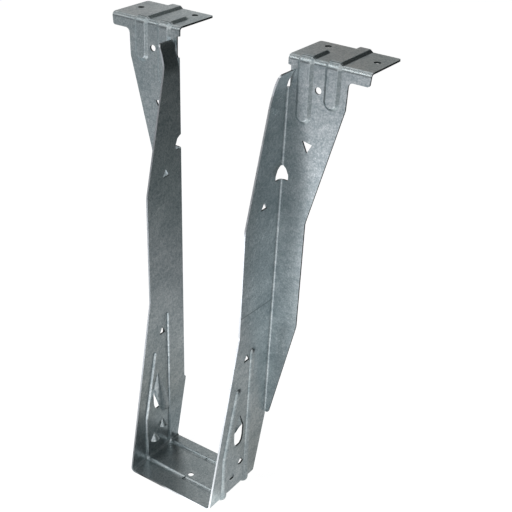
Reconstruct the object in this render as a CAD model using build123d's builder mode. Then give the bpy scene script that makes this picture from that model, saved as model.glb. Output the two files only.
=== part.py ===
from build123d import *
from math import cos, hypot, radians, sin, tan
import os

# Joist hanger with two top flanges, folded from one galvanised sheet.
# Millimetres. X runs across the joist, Y towards the header, Z up.
# The origin is the middle of the seat's top face, where the joist rests.
# "fwd" values are Y from the header face, so they are minus in front of it.
# "up" values are heights above the seat, "drop" values depths below the top flanges' underside.

# Driving dimensions, as for a 2-5/8 in wide, 11-7/8 in deep hanger
joist_width = 66.7          # clear width between the sides at the seat
hang_height = 301.5         # seat's top face to the underside of the top flanges
seat_depth = 50.8           # front to back
seat_setback = 10.6         # header face to the seat's back edge
sheet = 1.2
splay = 1.2                 # degrees each side leans out, as it springs from the press
seat_bend = 2.0             # inside radius of the seat's two bends
header_bend = 1.3           # inside radius of the bends into the header flanges
top_bend = 1.5              # inside radius of the bends into the top flanges
clearance = 0.5             # between cut edges and the bends beside them
past = 20.0                 # how far cutting shapes run beyond what they cut

# Side plates
bend_low_up = 47.2          # lower end of the bend into the header flange
bend_top_drop = 18.2        # upper end, at the relief beside the funnel
relief_width = 3.4
relief_height = 4.7
waist_setback = 25.0        # seat's front edge to the narrow upright run above it
waist_low_up = 124.0
waist_top_drop = 102.0
waist_round = 14.0
neck_fwd = -16.4            # where the sloping front edge meets the funnel
neck_drop = 20.5
neck_round = 8.0
funnel_top_drop = 6.9
funnel_tip_round = 2.5
funnel_start_drop = 26.5    # the sheet starts to curl outwards here
funnel_radius = 46.0
funnel_curl = 34.0          # degrees

# Header flanges
header_foot = 1.8           # width at the lower end, beside the bend
header_foot_round = 2.0
header_width = 20.5         # from the side plate's inner face, over the long parallel run
header_run_low_up = 123.4
header_run_top_drop = 102.9
header_run_round = 12.0
header_shoulder_in = 0.7
header_shoulder_drop = 24.1
header_shoulder_round = 8.0
header_top_notch = 2.0      # inner edge, set back from the top flange's end
ear_width = 14.0            # ears that run out below the top bend
ear_drop = 7.0
ear_inner_drop = 4.7
ear_round = 3.2
ear_tip_in = 0.6
ear_tip_round = 1.6

# Top flanges
top_width = 54.4
top_depth = 34.0            # header face to the back edge
top_round = 1.8

# Wide beads that stiffen the top bends
bead_rise = 1.6
bead_base = 10.8
bead_crown = 6.8
bead_soft = 1.0             # rounding of the crown's edges
bead_inner_in = 12.0        # inner bead's centre, from the top flange's inner end
bead_inner_drop = 33.3
bead_inner_back = 14.6      # how far it runs back on the top flange
bead_outer_in = 10.0        # outer bead's centre, from the header flange's upper edge
bead_outer_drop = 21.1

# Narrow ribs that run down both sides and across the seat
rib_half = 3.0
rib_rise = 1.5
rib_back_in = 9.6           # back rib's centre, from the seat's back edge
rib_back_top = 107.0
rib_front_in = 15.8         # front rib's centre, from the seat's front edge
rib_front_turn = 33.0       # height where it turns to follow the front edge
rib_front_shift = 11.2
rib_front_top = 81.6

# Holes
nail_hole = 4.3
header_hole_drop = 16.3
top_hole_inner = (9.5, 26.8)        # from the top flange's inner end, and fwd
top_hole_outer = (7.2, 18.6)        # from the top flange's outer end, and fwd
seat_hole = (2.0, 21.5)             # off the middle, and from the seat's front edge
header_triangle = [(12.3, 49.0), (19.4, 50.3), (15.9, 56.5)]        # from the inner end, and drop
side_triangle = [(-17.6, 87.3), (-14.4, 92.5), (-21.2, 92.6)]       # fwd, and drop
low_triangle = [(0.0, 3.3), (3.2, -2.3), (-3.2, -2.3)]
low_triangle_left = (-24.9, 97.0)
low_triangle_right = (-26.9, 105.0)
arch_low_drop = 77.6        # arch-shaped hole through the bend into the header flange
arch_top_drop = 68.2
arch_front = -7.2
arch_outer = 3.8            # beyond the bend, on the header flange
arch_step = 1.8

# Gripping tab over the joist's lower flange: a half cone drawn inwards, cut free at its lower end
tab_off_middle = 1.7        # from the middle between the ribs
tab_apex_up = 66.0
tab_cone = 22.5             # half angle, degrees
tab_tilt = 6.8              # the cone's axis leans out by this, degrees
tab_opening = [(4.3, 53.5), (5.2, 49.5), (5.0, 42.0), (4.0, 38.3), (2.1, 36.5)]  # half width, and height up
tab_gap = 0.3

# Small pressed scoops below the tab, half cones with an open lower edge
scoop_upper_in = 7.1        # in front of the back rib
scoop_lower_in = 9.0        # behind the front rib
scoop_upper_low = 19.2      # open lower edge, height up
scoop_lower_low = 11.7
scoop_tall = 6.8
scoop_half = 3.8
scoop_wall = 0.9
scoop_under = 1.6           # the cut's round lower end, below the open edge

# Worked out from the sizes above
lean = radians(splay)
out_dir = Vector(cos(lean), 0, -sin(lean))
up_dir = Vector(sin(lean), 0, cos(lean))
header_y = seat_depth / 2 + seat_setback
seat_back = -seat_setback
seat_front = -(seat_setback + seat_depth)
waist_fwd = seat_front + waist_setback
bend_top_up = hang_height - bend_top_drop
bend_reach = sheet + header_bend
plate_top = joist_width / 2 + hang_height * tan(lean)
top_inner = plate_top + clearance
top_outer = top_inner + top_width
header_edge = top_outer - ear_width
bead_inner_x = top_inner + bead_inner_in
bead_outer_x = header_edge - bead_outer_in
rib_radius = (rib_half ** 2 + rib_rise ** 2) / (2 * rib_rise)
rib_sink = rib_radius - rib_rise - sheet
rib_back_fwd = seat_back - rib_back_in
rib_front_fwd = seat_front + rib_front_in
tab_fwd = (rib_back_fwd + rib_front_fwd) / 2 + tab_off_middle
scoops = [(rib_back_fwd - scoop_upper_in, scoop_upper_low), (rib_front_fwd + scoop_lower_in, scoop_lower_low)]

# Right side plate's inner face: sketch x is Y from the header face, sketch y runs up the leaning plate
wall = Plane(origin=(joist_width / 2, header_y, 0), x_dir=(0, 1, 0), z_dir=out_dir)
# Left side plate's inner face, with the same sketch directions
wall_left = Plane(origin=(-joist_width / 2, header_y, 0), x_dir=(0, 1, 0), z_dir=(cos(lean), 0, sin(lean)))
# Header face, looking back at it: sketch x is X, sketch y is Z, extrusions come forward
face = Plane(origin=(0, header_y, 0), x_dir=(1, 0, 0), z_dir=(0, -1, 0))


def at_wall(fwd, up, out=0.0):
    """A point given on the right side plate."""
    return wall.from_local_coords(Vector(fwd, up, out))


def bend_x(up, out):
    """X of a line drawn up the leaning plate, at this height."""
    return joist_width / 2 + out / cos(lean) + up * tan(lean)


def channel_half(extra, past_middle=0):
    """Half of the channel's section, as a filled area, grown by this much."""
    with BuildSketch(face) as filled:
        with BuildLine():
            bend_start = joist_width / 2 - seat_bend * (1 - sin(lean)) / cos(lean)
            start = Line((-past_middle, -extra), (bend_start, -extra))
            corner = JernArc(start @ 1, (1, 0), seat_bend + extra, 90 - splay)
            straight = hang_height - funnel_start_drop - seat_bend * cos(lean)
            run = PolarLine(corner @ 1, straight, direction=corner % 1)
            curl = JernArc(run @ 1, run % 1, funnel_radius - extra, -funnel_curl)
            level = Line(curl @ 1, (-past_middle, (curl @ 1).Y))
            Line(level @ 1, start @ 0)
        make_face()
    return filled.sketch


def bead_half(narrow, drop, under):
    """Half of a bead's section: across, and outwards as minus y."""
    base = bead_base / 2 - narrow
    crown = bead_crown / 2 - narrow
    rise = bead_rise - drop
    return [(0, under), (base, under), (base, drop), (crown, -rise), (0, -rise)]


def bead(x, low, back, closed, narrow, drop, under, soft):
    """A wide bead up the header flange and over its top bend, with round ends."""
    start = Plane(origin=(x, header_y - sheet, low), x_dir=(1, 0, 0), z_dir=(0, 0, 1))
    end = Plane(origin=(x, header_y + back, hang_height + sheet), x_dir=(1, 0, 0), z_dir=(0, 1, 0))
    side = Plane(origin=(x, header_y, hang_height), x_dir=(0, 1, 0), z_dir=(1, 0, 0))
    points = bead_half(narrow, drop, under)
    with BuildPart() as form:
        with BuildLine(side) as path:
            rise = Line((-sheet, low - hang_height), (-sheet, -top_bend))
            over = JernArc(rise @ 1, (0, 1), top_bend + sheet, -90)
            Line(over @ 1, (back, sheet))
        with BuildSketch(start) as section:
            with BuildLine():
                Polyline(*points[1:-1], *[(-u, v) for u, v in reversed(points[1:-1])], close=True)
            make_face()
            if soft:
                fillet(section.vertices().sort_by(Axis.Y)[:2], soft)
        sweep(path=path.wires()[0])
        ends = [(start, Axis((x, header_y, low), (0, 1, 0)))]
        if closed:
            ends.append((end, Axis((x, header_y + back, hang_height), (0, 0, 1))))
        for plane, axis in ends:
            with BuildSketch(plane) as half:
                with BuildLine():
                    Polyline(*points, close=True)
                make_face()
                if soft:
                    fillet(half.vertices().sort_by_distance((bead_crown / 2 - narrow, points[-1][1]))[0], soft)
            revolve(axis=axis)
    return form.part


# The wide beads' outsides, and the hollows behind them
slope_in = (bead_base - bead_crown) / 2
thin = sheet * (hypot(slope_in, bead_rise) - slope_in) / bead_rise
bead_places = [(bead_inner_x, hang_height - bead_inner_drop, bead_inner_back, True),
               (bead_outer_x, hang_height - bead_outer_drop, top_depth, False)]
bead_outsides = [bead(*place, 0, 0, clearance, bead_soft) for place in bead_places]
bead_hollows = [bead(*place, thin, sheet, sheet + clearance, 0) for place in bead_places]

# The gripping tab's cone, as a shell one sheet thick, and the hollow behind it
cone_lean = radians(tab_tilt)
cone_down = out_dir * sin(cone_lean) - up_dir * cos(cone_lean)
cone_plane = Plane(origin=at_wall(tab_fwd, tab_apex_up), x_dir=(0, 1, 0),
                   z_dir=out_dir * -cos(cone_lean) - up_dir * sin(cone_lean))
cone_spread = tan(radians(tab_cone))
cone_wall = sheet / sin(radians(tab_cone))
cone_long = tab_apex_up - tab_opening[-1][1] + past
right_half, cut_up = tab_opening[0]
right_side = [(tab_fwd + half, up) for half, up in tab_opening]
left_side = [(tab_fwd - half, up) for half, up in reversed(tab_opening)]

with BuildPart() as tab_shell:
    with BuildSketch(cone_plane):
        Polygon((0, 0), (cone_long * cone_spread, cone_long), ((cone_long - cone_wall) * cone_spread, cone_long),
                (0, cone_wall), align=None)
    revolve(axis=Axis(cone_plane.origin, cone_down))
    with BuildSketch(wall):
        Polygon(*right_side[:-1], *left_side[1:], align=None)
        offset(amount=-tab_gap)
        with Locations((tab_fwd, cut_up - 2 * tab_gap)):
            Rectangle(2 * right_half - 2 * tab_gap, past, align=(Align.CENTER, Align.MIN))
        with Locations((tab_fwd, cut_up)):
            Rectangle(past, past, align=(Align.CENTER, Align.MIN))
    extrude(amount=past, both=True, mode=Mode.INTERSECT)
    split(bisect_by=wall.offset(sheet), keep=Keep.BOTTOM)

with BuildPart() as tab_hollow:
    with BuildSketch(cone_plane):
        Polygon((0, cone_wall), ((cone_long - cone_wall) * cone_spread, cone_long), (0, cone_long), align=None)
    revolve(axis=Axis(cone_plane.origin, cone_down))
    with BuildSketch(wall):
        with Locations((tab_fwd, cut_up)):
            Rectangle(past, past, align=(Align.CENTER, Align.MIN))
    extrude(amount=past, both=True, mode=Mode.INTERSECT)


def scoop(fwd, low, narrow):
    """A small scoop as half a cone, drawn inwards, with its wide end open below."""
    with BuildPart() as form:
        with BuildSketch(wall.offset(sheet / 2)):
            Polygon((fwd, low), (fwd + scoop_half - narrow, low), (fwd, low + scoop_tall - 2 * narrow), align=None)
        revolve(axis=Axis(at_wall(fwd, low, sheet / 2), up_dir))
        if not narrow:
            split(bisect_by=wall.offset(sheet / 2), keep=Keep.BOTTOM)
    return form.part


scoop_skins = [scoop(*place, 0) for place in scoops]
scoop_hollows = [scoop(*place, scoop_wall) for place in scoops]

# One half of the hanger, then its mirror image
with BuildPart() as hanger:
    # Channel: filled block with the ribs' outsides, hollowed by the same block grown inwards
    extrude(channel_half(sheet), amount=past - seat_front)
    back_low = Vector(0, header_y + rib_back_fwd, rib_sink)
    back_corner = at_wall(rib_back_fwd, rib_sink, -rib_sink)
    back_top = at_wall(rib_back_fwd, rib_back_top, -rib_sink)
    front_low = Vector(0, header_y + rib_front_fwd, rib_sink)
    front_corner = at_wall(rib_front_fwd, rib_sink, -rib_sink)
    front_turn = at_wall(rib_front_fwd, rib_front_turn, -rib_sink)
    front_top = at_wall(rib_front_fwd + rib_front_shift, rib_front_top, -rib_sink)
    rib_runs = [(back_low, back_corner), (back_corner, back_top), (front_low, front_corner),
                (front_corner, front_turn), (front_turn, front_top)]
    for start, end in rib_runs:
        with BuildSketch(Plane(origin=start, z_dir=end - start)):
            Circle(rib_radius)
        extrude(amount=(end - start).length)
        with Locations(end):
            Sphere(rib_radius)
    extrude(channel_half(0, past), amount=2 * past - seat_front, mode=Mode.SUBTRACT)
    for start, end in rib_runs:
        with BuildSketch(Plane(origin=start, z_dir=end - start)):
            Circle(rib_radius - sheet)
        extrude(amount=(end - start).length, mode=Mode.SUBTRACT)
        with Locations(end):
            Sphere(rib_radius - sheet, mode=Mode.SUBTRACT)

    # Side plate's outline, which also trims the seat
    neck = (neck_fwd, hang_height - neck_drop)
    funnel_tip = (neck_fwd + clearance, hang_height - funnel_top_drop)
    waist_top = (waist_fwd, hang_height - waist_top_drop)
    waist_low = (waist_fwd, waist_low_up)
    with BuildSketch(wall):
        Polygon((seat_back, -past), (seat_back, 0), (0, bend_low_up - header_foot),
                (-clearance, bend_low_up - clearance), (-bend_reach, bend_low_up), (-bend_reach, bend_top_up),
                (-relief_width, bend_top_up), (-relief_width, bend_top_up + relief_height),
                (-sheet, hang_height - funnel_top_drop), funnel_tip, neck, waist_top, waist_low,
                (seat_front, 0), (seat_front, -past), align=None)
        fillet(vertices().sort_by_distance(funnel_tip)[0], funnel_tip_round)
        fillet(vertices().sort_by_distance(neck)[0], neck_round)
        fillet(vertices().sort_by_distance(waist_top)[0], waist_round)
        fillet(vertices().sort_by_distance(waist_low)[0], waist_round)
    extrude(amount=3 * past, both=True, mode=Mode.INTERSECT)

    # Bend from the side plate into the header flange
    with BuildSketch(Plane(origin=at_wall(0, bend_low_up), x_dir=out_dir, z_dir=up_dir)):
        with BuildLine():
            outer = CenterArc((bend_reach, -bend_reach), bend_reach, 90, 90)
            inner = CenterArc((bend_reach, -bend_reach), header_bend, 90, 90)
            Line(outer @ 0, inner @ 0)
            Line(outer @ 1, inner @ 1)
        make_face()
    extrude(amount=bend_top_up - bend_low_up)

    # Header flange with its ears
    foot = (bend_x(bend_low_up, bend_reach) + header_foot, bend_low_up)
    run_low = (bend_x(header_run_low_up, header_width), header_run_low_up)
    run_top_up = hang_height - header_run_top_drop
    run_top = (bend_x(run_top_up, header_width), run_top_up)
    shoulder = (header_edge - header_shoulder_in, hang_height - header_shoulder_drop)
    ear_corner = (header_edge, hang_height - ear_drop)
    ear_tip = (top_outer - ear_tip_in, hang_height - ear_drop)
    notch_x = top_inner + header_top_notch
    with BuildSketch(face):
        Polygon((bend_x(bend_low_up, bend_reach), bend_low_up), foot, run_low, run_top, shoulder, ear_corner,
                ear_tip, (top_outer, hang_height - top_bend), (top_inner, hang_height - top_bend),
                (top_inner, hang_height - ear_inner_drop), (notch_x, hang_height - ear_inner_drop - clearance),
                (notch_x, bend_top_up + sheet), (bend_x(bend_top_up, bend_reach), bend_top_up), align=None)
        fillet(vertices().sort_by_distance(foot)[0], header_foot_round)
        fillet(vertices().sort_by_distance(run_low)[0], header_run_round)
        fillet(vertices().sort_by_distance(run_top)[0], header_run_round)
        fillet(vertices().sort_by_distance(shoulder)[0], header_shoulder_round)
        fillet(vertices().sort_by_distance(ear_corner)[0], ear_round)
        fillet(vertices().sort_by_distance(ear_tip)[0], ear_tip_round)
    extrude(amount=sheet)

    # Bend over the header's edge and the top flange
    with BuildSketch(Plane(origin=(top_inner, header_y, hang_height), x_dir=(0, 1, 0), z_dir=(1, 0, 0))):
        with BuildLine():
            outer = CenterArc((top_bend, -top_bend), top_bend + sheet, 90, 90)
            inner = CenterArc((top_bend, -top_bend), top_bend, 90, 90)
            Line(outer @ 0, inner @ 0)
            Line(outer @ 1, inner @ 1)
        make_face()
    extrude(amount=top_width)
    with BuildSketch(Plane(origin=(0, header_y, hang_height))):
        Polygon((top_inner, top_bend), (top_outer, top_bend), (top_outer, top_depth), (top_inner, top_depth),
                align=None)
        fillet(vertices().sort_by(Axis.Y)[-2:], top_round)
    extrude(amount=sheet)

    # Beads over the top bend
    for outside in bead_outsides:
        add(outside)
    for hollow in bead_hollows:
        add(hollow, mode=Mode.SUBTRACT)

    # Header flange's nail hole, between the beads, its triangle and its part of the arch
    arch_low = hang_height - arch_low_drop
    arch_top = hang_height - arch_top_drop
    arch_start = bend_x(arch_low, bend_reach) - clearance
    arch_end = bend_x(arch_low, bend_reach) + arch_outer
    with BuildSketch(face):
        with Locations(((bead_inner_x + bead_outer_x) / 2, hang_height - header_hole_drop)):
            Circle(nail_hole / 2)
        Polygon(*[(top_inner + across, hang_height - drop) for across, drop in header_triangle], align=None)
        Polygon((arch_start, arch_low), (arch_end - clearance, arch_low), (arch_end, arch_low + clearance),
                (arch_end, arch_low + 2 * arch_step), (arch_end - arch_step, arch_top - arch_step),
                (arch_start + clearance, arch_top), (arch_start, arch_top), align=None)
    extrude(amount=past, both=True, mode=Mode.SUBTRACT)

    # Top flange's nail holes
    with BuildSketch(Plane(origin=(0, header_y, hang_height))):
        with Locations((top_inner + top_hole_inner[0], top_hole_inner[1]),
                       (top_outer - top_hole_outer[0], top_hole_outer[1])):
            Circle(nail_hole / 2)
    extrude(amount=past, both=True, mode=Mode.SUBTRACT)

    # Side plate's triangle, and the rest of the arch through the bend
    with BuildSketch(wall):
        Polygon(*[(fwd, hang_height - drop) for fwd, drop in side_triangle], align=None)
    extrude(amount=past, both=True, mode=Mode.SUBTRACT)
    with BuildSketch(wall.offset(-clearance)):
        Polygon((sheet, arch_low), (arch_front + clearance, arch_low), (arch_front, arch_low + clearance),
                (arch_front, arch_low + 2 * arch_step), (arch_front + arch_step, arch_top - arch_step),
                (-bend_reach, arch_top), (sheet, arch_top), align=None)
    extrude(amount=clearance + bend_reach, mode=Mode.SUBTRACT)

    # Gripping tab in its opening
    with BuildSketch(wall):
        Polygon(*right_side, *left_side, align=None)
    extrude(amount=past, both=True, mode=Mode.SUBTRACT)
    add(tab_hollow.part, mode=Mode.SUBTRACT)
    add(tab_shell.part)

    # Scoops, with a round lower end to each cut
    with BuildSketch(wall):
        for fwd, low in scoops:
            with BuildLine():
                open_edge = Line((fwd - scoop_half + clearance, low), (fwd + scoop_half - clearance, low))
                ThreePointArc(open_edge @ 0, (fwd, low - scoop_under), open_edge @ 1)
            make_face()
    extrude(amount=past, both=True, mode=Mode.SUBTRACT)
    for skin in scoop_skins:
        add(skin)
    for hollow in scoop_hollows:
        add(hollow, mode=Mode.SUBTRACT)

    mirror(about=Plane.YZ)

    # Features without a mirror twin
    with BuildSketch(Plane(origin=(0, header_y, 0))):
        with Locations((seat_hole[0], seat_front + seat_hole[1])):
            Circle(nail_hole / 2)
    extrude(amount=past, both=True, mode=Mode.SUBTRACT)
    for plane, place in ((wall_left, low_triangle_left), (wall, low_triangle_right)):
        with BuildSketch(plane):
            with Locations(place):
                Polygon(*low_triangle, align=None)
        extrude(amount=past, both=True, mode=Mode.SUBTRACT)

hanger.part.label = "joist_hanger"
os.makedirs("parts", exist_ok=True)
export_step(hanger.part, "parts/joist_hanger.step")
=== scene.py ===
from math import cos, hypot, pi, radians, sin, tan

import bpy
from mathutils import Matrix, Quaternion, Vector


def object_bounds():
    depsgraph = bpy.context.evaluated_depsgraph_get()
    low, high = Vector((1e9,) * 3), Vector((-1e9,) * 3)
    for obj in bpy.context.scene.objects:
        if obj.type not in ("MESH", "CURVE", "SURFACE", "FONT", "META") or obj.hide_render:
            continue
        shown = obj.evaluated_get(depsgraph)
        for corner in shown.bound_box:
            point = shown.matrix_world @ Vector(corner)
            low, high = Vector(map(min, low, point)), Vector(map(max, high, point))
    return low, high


# Looks for the joist hanger: one folded sheet of galvanised steel.
# Metres, in the row's frame: +X across the joist, +Y towards the header beam, +Z up.
# The origin is the middle of the seat's top face.

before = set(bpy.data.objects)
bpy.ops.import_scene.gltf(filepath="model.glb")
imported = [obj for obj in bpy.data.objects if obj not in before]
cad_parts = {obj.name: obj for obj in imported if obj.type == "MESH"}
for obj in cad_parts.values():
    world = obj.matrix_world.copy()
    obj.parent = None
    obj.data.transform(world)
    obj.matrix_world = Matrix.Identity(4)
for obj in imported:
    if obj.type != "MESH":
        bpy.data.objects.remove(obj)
cad_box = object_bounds()
low, high = cad_box
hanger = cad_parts["joist_hanger"]
scene = bpy.context.scene

# Sizes of the sheet that the material needs, the same as in part.py
SHEET = 0.0012
HALF_WIDTH = 0.03335        # side plate's inner face, at the seat
SPLAY = tan(radians(1.2))   # how far a side plate leans out, per metre up
HEADER_Y = 0.0360           # header flange's back face
HEADER_BEND = 0.0025        # outer radius of the bends into the header flanges
TOP_UNDER = 0.3015          # top flanges' underside

# Where the sheared edges lie, which get the painted highlight and painted shade
SEAT_BEND_TOP = 0.0035      # the seat's bends end below this height
PLATE_HOLES_Y = 0.0025      # behind this, the plates' edges that face the front are in their holes
PLATE_HOLES_TOP = 0.209
NAIL_HOLE_REACH = 0.012     # the seat's nail hole lies between this far to the front and the back
ALONG_FACE = 0.35           # below this, a normal's part along an axis counts as none
FACING = 0.5                # above this, a normal's part along an axis counts as facing that way
SLACK = 0.0001              # play in the limits of the masks

# Scratch across the right side plate: two points on it as (Y, Z), and half its width
SCRATCH = ((0.0002, 0.1391), (0.0337, 0.1382))
SCRATCH_HALF = 0.00035

# Zinc: the colour runs with the sum of the noises, and the roughness runs against it
NOISE_LOW, NOISE_MIDDLE, NOISE_HIGH = 0.38, 0.50, 0.62
ZINC = [(NOISE_LOW, (0.270, 0.325, 0.345)),
        (NOISE_MIDDLE, (0.415, 0.465, 0.480)),
        (NOISE_HIGH, (0.600, 0.640, 0.650))]
ROUGHNESS_LOW, ROUGHNESS_HIGH = 0.36, 0.27
EDGE_ROUGHNESS = 0.5
SCRATCH_COLOUR = (0.22, 0.25, 0.26)
# Painted highlight on the cut edges of the plates and seat that face the front
PAINTED_HIGHLIGHT_EDGE = (0.74, 0.77, 0.80)
# Painted shade on the other cut edges, in the holes and along the header's and top flanges' edges
PAINTED_SHADE_EDGE = (0.055, 0.065, 0.065)
CLOUD_SHARE, MOTTLE_SHARE, GRAIN_SHARE, STREAK_SHARE = 0.18, 0.34, 0.34, 0.14
STREAK_SLANT = radians(14)
STREAK_STRETCH = 0.12       # streaks are about eight times as long as they are wide

# Painted reflections: tones that glow on a sheet over the floor, which only the zinc's reflections
# see, and paint its sheens, the highlights on its beads and its dark bands. They run in sectors
# from straight behind round by the left. Each has its start, in degrees from straight ahead (-Y)
# towards +X, and its colours by distance from the origin in metres.
SECTORS = [
    (-180, [(0.06, (0.45, 0.48, 0.49)), (0.98, (0.45, 0.48, 0.49))]),
    (-130, [(0.06, (0.70, 0.78, 0.82)), (0.98, (0.70, 0.78, 0.82))]),
    (-75, [(0.06, (0.48, 0.54, 0.56)), (0.98, (0.48, 0.54, 0.56))]),
    (-50, [(0.06, (0.02, 0.02, 0.02)), (0.42, (0.04, 0.04, 0.04)), (0.60, (0.48, 0.48, 0.49))]),
    (-37, [(0.06, (0.20, 0.20, 0.20)), (0.16, (0.90, 0.90, 0.90)), (0.28, (2.60, 2.60, 2.70)),
           (0.42, (2.45, 2.45, 2.54)), (0.60, (0.72, 0.72, 0.75))]),
    (-12, [(0.06, (1.20, 1.20, 1.20)), (0.28, (1.75, 1.75, 1.75)), (0.42, (1.75, 1.75, 1.80)),
           (0.60, (0.50, 0.50, 0.52))]),
    (18, [(0.06, (2.00, 2.00, 2.05)), (0.28, (1.75, 1.75, 1.80)), (0.42, (0.10, 0.12, 0.12)),
          (0.60, (2.00, 2.00, 2.08))]),
    (27, [(0.06, (2.00, 2.00, 2.05)), (0.28, (1.75, 1.75, 1.80)), (0.42, (0.10, 0.12, 0.12)),
          (0.60, (0.28, 0.30, 0.30))]),
    (48, [(0.06, (1.12, 1.15, 1.15)), (0.28, (1.12, 1.15, 1.15)), (0.42, (0.70, 0.74, 0.78)),
          (0.60, (0.75, 0.79, 0.83)), (0.90, (0.20, 0.22, 0.22))]),
    (80, [(0.06, (0.60, 0.61, 0.61)), (0.28, (0.60, 0.61, 0.61)), (0.42, (0.06, 0.06, 0.06))]),
    (125, [(0.06, (0.44, 0.44, 0.42)), (0.16, (0.62, 0.63, 0.63)), (0.28, (0.42, 0.42, 0.43)),
           (0.42, (0.21, 0.24, 0.24)), (0.60, (0.16, 0.17, 0.17))]),
]
SECTOR_BLEND = 5            # degrees to each side of a sector's start over which it comes in

# Painted reflections: tones that glow on a sheet behind the hanger, which only the zinc's
# reflections see, by X in metres
BACK_PAINTED_REFLECTIONS = [(-0.85, (0.49, 0.47, 0.46)),
              (-0.62, (0.63, 0.66, 0.66)),
              (-0.42, (0.31, 0.27, 0.25)),
              (-0.15, (0.43, 0.49, 0.48)),
              (0.20, (0.00, 0.00, 0.00))]
BACK_SHIFT = 1.0            # added to X, because a ramp has no places below 0


# Small helpers for materials

def new_material(name):
    """An empty node material, with its tree and its surface socket."""
    material = bpy.data.materials.new(name)
    material.use_nodes = True
    tree = material.node_tree
    tree.nodes.clear()
    output = tree.nodes.new("ShaderNodeOutputMaterial")
    return material, tree, output.inputs["Surface"]


def add_node(tree, kind, **values):
    """A node with its inputs set by name."""
    node = tree.nodes.new(kind)
    for name, value in values.items():
        node.inputs[name.replace("_", " ")].default_value = value
    return node


def calc(tree, operation, *values):
    """A math node on sockets and numbers."""
    node = tree.nodes.new("ShaderNodeMath")
    node.operation = operation
    for socket, value in zip(node.inputs, values):
        if isinstance(value, (int, float)):
            socket.default_value = value
        else:
            tree.links.new(value, socket)
    return node.outputs["Value"]


def below(tree, value, limit):
    """1 where the value is below the limit."""
    return calc(tree, "LESS_THAN", value, limit)


def above(tree, value, limit):
    """1 where the value is above the limit."""
    return calc(tree, "GREATER_THAN", value, limit)


def within(tree, value, reach):
    """1 where the value is less than this far from 0, to either side."""
    return below(tree, calc(tree, "ABSOLUTE", value), reach)


def every(tree, *masks):
    """1 where all masks are 1."""
    total = masks[0]
    for mask in masks[1:]:
        total = calc(tree, "MULTIPLY", total, mask)
    return total


def split(tree, source):
    """The three parts of a vector socket."""
    node = tree.nodes.new("ShaderNodeSeparateXYZ")
    tree.links.new(source, node.inputs["Vector"])
    return node.outputs["X"], node.outputs["Y"], node.outputs["Z"]


def ramp(tree, source, stops):
    """A colour ramp on a value, from (place, colour) stops."""
    node = tree.nodes.new("ShaderNodeValToRGB")
    elements = node.color_ramp.elements
    while len(elements) < len(stops):
        elements.new(0.5)
    for element, (place, colour) in zip(elements, stops):
        element.position = place
        element.color = (*colour, 1)
    tree.links.new(source, node.inputs["Fac"])
    return node.outputs["Color"]


def blend(tree, factor, first, second):
    """A mix of two colours by a factor. Each colour is a socket or a tuple."""
    node = tree.nodes.new("ShaderNodeMix")
    node.data_type = "RGBA"
    tree.links.new(factor, node.inputs["Factor"])
    for name, value in (("A", first), ("B", second)):
        socket = [s for s in node.inputs if s.name == name and s.type == "RGBA"][0]
        if isinstance(value, tuple):
            socket.default_value = (*value, 1)
        else:
            tree.links.new(value, socket)
    return [s for s in node.outputs if s.type == "RGBA"][0]


def noise(tree, place, scale, detail, roughness):
    """A noise value at a scale."""
    node = add_node(tree, "ShaderNodeTexNoise", Scale=scale, Detail=detail, Roughness=roughness)
    tree.links.new(place, node.inputs["Vector"])
    return node.outputs["Fac"]


# Galvanised steel

def cut_edges(tree, place):
    """Masks of the sheared edges: those with painted shade, and those facing the front with a
    painted highlight.
    """
    geometry = tree.nodes.new("ShaderNodeNewGeometry")
    x, y, z = split(tree, place)
    normal = split(tree, geometry.outputs["True Normal"])
    across_x, across_y, across_z = [within(tree, part, ALONG_FACE) for part in normal]
    plate_x = calc(tree, "MULTIPLY_ADD", z, SPLAY, HALF_WIDTH)
    beyond = calc(tree, "SUBTRACT", calc(tree, "ABSOLUTE", x), plate_x)
    side = every(tree, across_x, below(tree, y, HEADER_Y - HEADER_BEND - 3 * SLACK),
                 above(tree, z, SEAT_BEND_TOP), above(tree, beyond, -3 * SLACK))
    header = every(tree, across_y, above(tree, y, HEADER_Y - SHEET - SLACK),
                   below(tree, y, HEADER_Y + 2 * SLACK), above(tree, beyond, HEADER_BEND))
    top = every(tree, across_z, above(tree, z, TOP_UNDER - 2 * SLACK),
                below(tree, z, TOP_UNDER + SHEET + 2 * SLACK),
                above(tree, y, HEADER_Y + HEADER_BEND))
    seat = every(tree, across_x, across_z, below(tree, z, SEAT_BEND_TOP + SLACK))
    nail_hole = every(tree, across_z, below(tree, z, -SLACK), within(tree, y, NAIL_HOLE_REACH))
    plate_hole = every(tree, above(tree, y, PLATE_HOLES_Y), below(tree, z, PLATE_HOLES_TOP))
    front = every(tree, below(tree, normal[1], -FACING), calc(tree, "SUBTRACT", 1.0, plate_hole))
    plates = calc(tree, "MAXIMUM", side, seat)
    # Painted highlight: the cut edges of the plates and seat that face the front
    painted_highlight_edges = every(tree, plates, front)
    # Painted shade: the plates' and seat's other cut edges, the header's and top flanges' edges
    # and the seat's nail hole
    painted_shade_edges = calc(tree, "SUBTRACT", plates, painted_highlight_edges)
    for mask in (header, top, nail_hole):
        painted_shade_edges = calc(tree, "MAXIMUM", painted_shade_edges, mask)
    return painted_shade_edges, painted_highlight_edges


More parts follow.
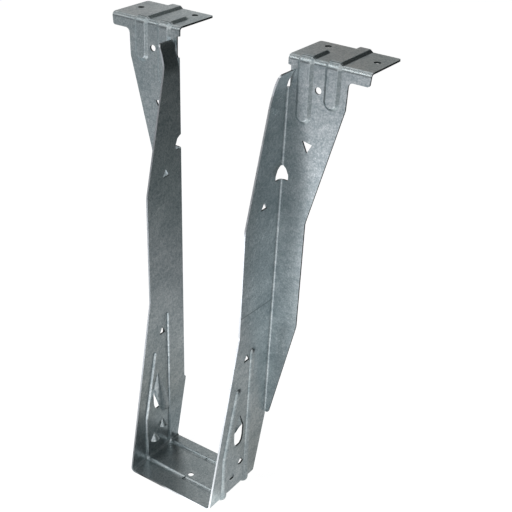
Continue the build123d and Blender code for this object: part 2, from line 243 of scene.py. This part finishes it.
def drag_streaks(tree, place):
    """Faint slanting streaks left by the rollers, which run on round the bends."""
    x, y, z = split(tree, place)
    along = calc(tree, "ADD", calc(tree, "ABSOLUTE", x), y)
    across_streak = calc(tree, "SUBTRACT", calc(tree, "MULTIPLY", along, sin(STREAK_SLANT)),
                         calc(tree, "MULTIPLY", z, cos(STREAK_SLANT)))
    along_streak = calc(tree, "ADD", calc(tree, "MULTIPLY", along, cos(STREAK_SLANT)),
                        calc(tree, "MULTIPLY", z, sin(STREAK_SLANT)))
    join = tree.nodes.new("ShaderNodeCombineXYZ")
    tree.links.new(across_streak, join.inputs["X"])
    tree.links.new(calc(tree, "MULTIPLY", along_streak, STREAK_STRETCH), join.inputs["Y"])
    return noise(tree, join.outputs["Vector"], 220.0, 2.0, 0.5)


def scribe_line(tree, place):
    """A thin scratch across the right side plate."""
    x, y, z = split(tree, place)
    (y0, z0), (y1, z1) = SCRATCH
    run = hypot(y1 - y0, z1 - z0)
    slope_y, slope_z = (z1 - z0) / run, -(y1 - y0) / run
    off = calc(tree, "ADD", calc(tree, "MULTIPLY", y, slope_y),
               calc(tree, "MULTIPLY", z, slope_z))
    off = calc(tree, "SUBTRACT", off, y0 * slope_y + z0 * slope_z)
    return every(tree, within(tree, off, SCRATCH_HALF), above(tree, x, HALF_WIDTH),
                 below(tree, y, HEADER_Y - HEADER_BEND))


def galvanised_steel():
    """Zinc-coated sheet: a satin metal with soft clouds, a fine mottle and grain, and streaks, a
    scratch, a painted highlight on the cut edges that face the front and painted shade on the
    other cut edges.
    """
    material, tree, surface = new_material("galvanised_sheet")
    place = tree.nodes.new("ShaderNodeTexCoord").outputs["Object"]
    clouds = noise(tree, place, 55.0, 2.0, 0.5)
    mottle = noise(tree, place, 420.0, 3.0, 0.7)
    grain = noise(tree, place, 1000.0, 1.0, 0.5)
    streaks = drag_streaks(tree, place)
    total = calc(tree, "MULTIPLY", clouds, CLOUD_SHARE)
    for part, share in ((mottle, MOTTLE_SHARE), (grain, GRAIN_SHARE), (streaks, STREAK_SHARE)):
        total = calc(tree, "MULTIPLY_ADD", part, share, total)
    painted_shade_edges, painted_highlight_edges = cut_edges(tree, place)
    colour = ramp(tree, total, ZINC)
    # The scratch is a real mark; then a painted highlight on the cut edges that face the front and
    # painted shade on the other cut edges
    for mask, paint in ((scribe_line(tree, place), SCRATCH_COLOUR),
                        (painted_highlight_edges, PAINTED_HIGHLIGHT_EDGE), (painted_shade_edges, PAINTED_SHADE_EDGE)):
        colour = blend(tree, mask, colour, paint)
    rough = add_node(tree, "ShaderNodeMapRange", From_Min=NOISE_LOW, From_Max=NOISE_HIGH,
                     To_Min=ROUGHNESS_LOW, To_Max=ROUGHNESS_HIGH)
    tree.links.new(total, rough.inputs["Value"])
    rough = calc(tree, "MAXIMUM", rough.outputs["Result"],
                 calc(tree, "MULTIPLY", painted_shade_edges, EDGE_ROUGHNESS))
    bump = add_node(tree, "ShaderNodeBump", Strength=0.10, Distance=0.0002)
    tree.links.new(calc(tree, "ADD", mottle, grain), bump.inputs["Height"])
    shader = add_node(tree, "ShaderNodeBsdfPrincipled", Metallic=0.87)
    tree.links.new(colour, shader.inputs["Base Color"])
    tree.links.new(rough, shader.inputs["Roughness"])
    tree.links.new(bump.outputs["Normal"], shader.inputs["Normal"])
    tree.links.new(shader.outputs["BSDF"], surface)
    return material


hanger.data.materials.clear()
hanger.data.materials.append(galvanised_steel())


# Stage

def seen_or_lighting(tree, seen, lighting, surface):
    """One shader for camera, glossy and transmission rays, and one for rays that light things."""
    path = tree.nodes.new("ShaderNodeLightPath")
    mirrored = calc(tree, "MAXIMUM", path.outputs["Is Glossy Ray"],
                    path.outputs["Is Transmission Ray"])
    mix = tree.nodes.new("ShaderNodeMixShader")
    tree.links.new(calc(tree, "MAXIMUM", path.outputs["Is Camera Ray"], mirrored), mix.inputs[0])
    tree.links.new(lighting, mix.inputs[1])
    tree.links.new(seen, mix.inputs[2])
    tree.links.new(mix.outputs["Shader"], surface)


def pale_floor():
    """A plain white floor that shows as white and still keeps a faint shadow."""
    material, tree, surface = new_material("studio_floor")
    matt = add_node(tree, "ShaderNodeBsdfDiffuse", Color=(0.25, 0.25, 0.25, 1))
    faint = add_node(tree, "ShaderNodeBsdfDiffuse", Color=(0.22, 0.22, 0.22, 1))
    glow = add_node(tree, "ShaderNodeEmission", Color=(1, 1, 1, 1), Strength=0.98)
    white = tree.nodes.new("ShaderNodeAddShader")
    tree.links.new(faint.outputs["BSDF"], white.inputs[0])
    tree.links.new(glow.outputs["Emission"], white.inputs[1])
    seen_or_lighting(tree, white.outputs["Shader"], matt.outputs["BSDF"], surface)
    return material


def plane(name, size, place, normal, material):
    """A flat stage sheet facing along its normal."""
    bpy.ops.mesh.primitive_plane_add(size=1, location=place)
    sheet = bpy.context.object
    sheet.name = name
    sheet.scale = (*size, 1)
    sheet.rotation_mode = "QUATERNION"
    sheet.rotation_quaternion = Vector(normal).to_track_quat("Z", "Y")
    sheet.data.materials.append(material)
    return sheet


def painted_reflection_card(name, size, place, normal, paint):
    """A glowing card that is no lamp and that only the metal's reflections see: it paints
    reflections on the zinc. Its paint is a colour, or makes its socket.
    """
    material, tree, surface = new_material(name)
    glow = add_node(tree, "ShaderNodeEmission", Strength=1.0)
    if isinstance(paint, tuple):
        glow.inputs["Color"].default_value = (*paint, 1)
    else:
        tree.links.new(paint(tree), glow.inputs["Color"])
    tree.links.new(glow.outputs["Emission"], surface)
    card = plane(name, size, place, normal, material)
    card.visible_camera = False
    card.visible_shadow = False
    card.visible_diffuse = False


def turn_place(angle):
    """Where an angle in degrees lies on a ramp that runs from -180 to +180."""
    return 0.5 + angle / 360


def painted_floor_reflections(tree):
    """Painted reflections on the zinc: the tones of the sheet over the floor, sector by sector."""
    x, y, _ = split(tree, tree.nodes.new("ShaderNodeNewGeometry").outputs["Position"])
    far = calc(tree, "SQRT", calc(tree, "ADD", calc(tree, "MULTIPLY", x, x),
                                  calc(tree, "MULTIPLY", y, y)))
    turn = calc(tree, "ARCTAN2", x, calc(tree, "MULTIPLY", y, -1.0))
    turn = calc(tree, "MULTIPLY_ADD", turn, 0.5 / pi, 0.5)
    tones = ramp(tree, far, SECTORS[0][1])
    for start, stops in SECTORS[1:]:
        step = ramp(tree, turn, [(turn_place(start - SECTOR_BLEND), (0, 0, 0)),
                                 (turn_place(start + SECTOR_BLEND), (1, 1, 1))])
        tones = blend(tree, step, tones, ramp(tree, far, stops))
    return tones


def painted_back_reflections(tree):
    """Painted reflections on the zinc: the tones of the sheet behind, from left to right."""
    x, _, _ = split(tree, tree.nodes.new("ShaderNodeNewGeometry").outputs["Position"])
    return ramp(tree, calc(tree, "ADD", x, BACK_SHIFT),
                [(place + BACK_SHIFT, colour) for place, colour in BACK_PAINTED_REFLECTIONS])


plane("floor", (12, 12), (0, 0, low.z), (0, 0, 1), pale_floor())
# Painted reflections on the zinc: this sheet over the floor glows, and only the reflections see it
painted_reflection_card("painted_floor_reflections", (2.8, 2.8), (0, 0, low.z + 0.0005), (0, 0, 1), painted_floor_reflections)
# Painted reflections on the zinc from a glowing sheet behind the hanger
painted_reflection_card("painted_back_reflection_card", (2.2, 1.6), (-0.75, 0.9, 0.85), (0, -1, 0), painted_back_reflections)
# Painted dark reflections: near-black glowing sheets that only the zinc's reflections see
painted_reflection_card("painted_dark_reflection_right_back", (1.27, 1.55), (0.80, 0.45, 0.80), (-1, -1, 0),
          (0.03, 0.035, 0.035))
painted_reflection_card("painted_dark_reflection_front_low", (1.3, 0.8), (-0.75, -1.05, 0.42), (0.58, 0.81, 0),
          (0.05, 0.055, 0.06))
painted_reflection_card("painted_dark_reflection_front_high", (1.2, 1.2), (-0.62, -0.50, 0.95), (0.56, 0.44, -0.67),
          (0.04, 0.045, 0.045))


def soft_lamp(name, place, aim, size, power):
    """A square softbox."""
    data = bpy.data.lights.new(name, "AREA")
    data.shape = "SQUARE"
    data.size = size
    data.energy = power
    lamp = bpy.data.objects.new(name, data)
    scene.collection.objects.link(lamp)
    lamp.location = place
    lamp.rotation_mode = "QUATERNION"
    lamp.rotation_quaternion = (Vector(aim) - Vector(place)).to_track_quat("-Z", "Y")


def studio_world():
    """A world that shows as white and lights the object only a little."""
    world = bpy.data.worlds.new("studio")
    world.use_nodes = True
    tree = world.node_tree
    tree.nodes.clear()
    output = tree.nodes.new("ShaderNodeOutputWorld")
    ambient = add_node(tree, "ShaderNodeBackground", Color=(0.04, 0.04, 0.04, 1), Strength=1.0)
    white = add_node(tree, "ShaderNodeBackground", Color=(1, 1, 1, 1), Strength=1.0)
    seen_or_lighting(tree, white.outputs["Background"], ambient.outputs["Background"],
                     output.inputs["Surface"])
    return world


soft_lamp("key", (-0.55, -0.85, 1.1), (low + high) / 2, 0.8, 12)
scene.world = studio_world()
scene.view_settings.view_transform = "Standard"


# Camera, fitted to the photograph

CAMERA_PLACE = (0.35138, -0.45625, 0.48253)
CAMERA_YAW = radians(33.743)        # from +Y towards -X
CAMERA_PITCH = radians(28.266)      # downwards
CAMERA_ROLL = radians(2.401)
CAMERA_LENS = 73.08

look = Vector((-sin(CAMERA_YAW) * cos(CAMERA_PITCH),
               cos(CAMERA_YAW) * cos(CAMERA_PITCH),
               -sin(CAMERA_PITCH)))
camera_data = bpy.data.cameras.new("photo_camera")
camera_data.lens = CAMERA_LENS
camera_data.clip_start = 0.01
camera_data.clip_end = 50
camera = bpy.data.objects.new("photo_camera", camera_data)
scene.collection.objects.link(camera)
camera.location = CAMERA_PLACE
camera.rotation_mode = "QUATERNION"
camera.rotation_quaternion = look.to_track_quat("-Z", "Y") @ Quaternion((0, 0, 1), CAMERA_ROLL)
scene.camera = camera
